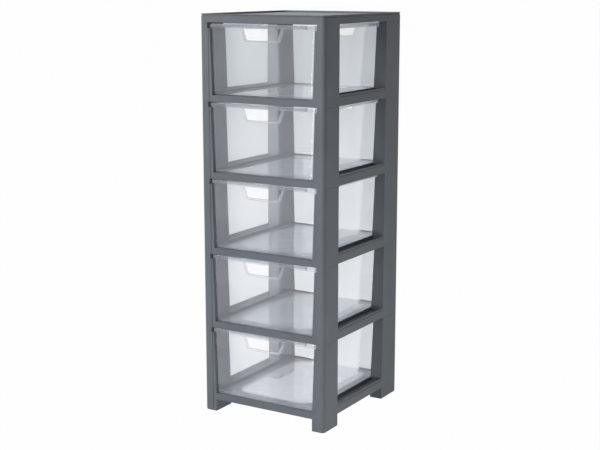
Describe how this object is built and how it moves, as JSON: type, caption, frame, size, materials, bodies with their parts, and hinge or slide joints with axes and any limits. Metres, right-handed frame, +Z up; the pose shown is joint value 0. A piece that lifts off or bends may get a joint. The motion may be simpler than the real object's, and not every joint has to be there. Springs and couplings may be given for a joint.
{
  "type": "drawer organizer tower",
  "caption": "Upright storage tower of stacked grey plastic frames with clear pull-out drawers, open sides and back, and a shallow tray top.",
  "frame": {"origin": "on the floor at the centre of the footprint", "axes": "+Z up, drawer fronts face -Y, +X to the right of someone facing the drawers"},
  "size_m": [0.32, 0.35, 0.913],
  "materials": {
    "frame_plastic": "satin moulded polypropylene, mid grey",
    "clear_plastic": "clear polystyrene with a faint milky grey haze, gloss"
  },
  "bodies": {
    "tower": {"base_frame": "frame_plastic", "tier_frame_2": "frame_plastic", "tier_frame_3": "frame_plastic", "tier_frame_4": "frame_plastic", "tier_frame_5": "frame_plastic", "top_cover": "frame_plastic"},
    "pull_out_1": {"drawer_1": "clear_plastic"},
    "pull_out_2": {"drawer_2": "clear_plastic"},
    "pull_out_3": {"drawer_3": "clear_plastic"},
    "pull_out_4": {"drawer_4": "clear_plastic"},
    "pull_out_5": {"drawer_5": "clear_plastic"}
  },
  "joints": [
    {"name": "drawer_1_slide", "type": "slide", "parent": "tower", "child": "pull_out_1", "axis": [0, -1, 0], "range_m": [0, 0.25]},
    {"name": "drawer_2_slide", "type": "slide", "parent": "tower", "child": "pull_out_2", "axis": [0, -1, 0], "range_m": [0, 0.25]},
    {"name": "drawer_3_slide", "type": "slide", "parent": "tower", "child": "pull_out_3", "axis": [0, -1, 0], "range_m": [0, 0.25]},
    {"name": "drawer_4_slide", "type": "slide", "parent": "tower", "child": "pull_out_4", "axis": [0, -1, 0], "range_m": [0, 0.25]},
    {"name": "drawer_5_slide", "type": "slide", "parent": "tower", "child": "pull_out_5", "axis": [0, -1, 0], "range_m": [0, 0.25]}
  ]
}
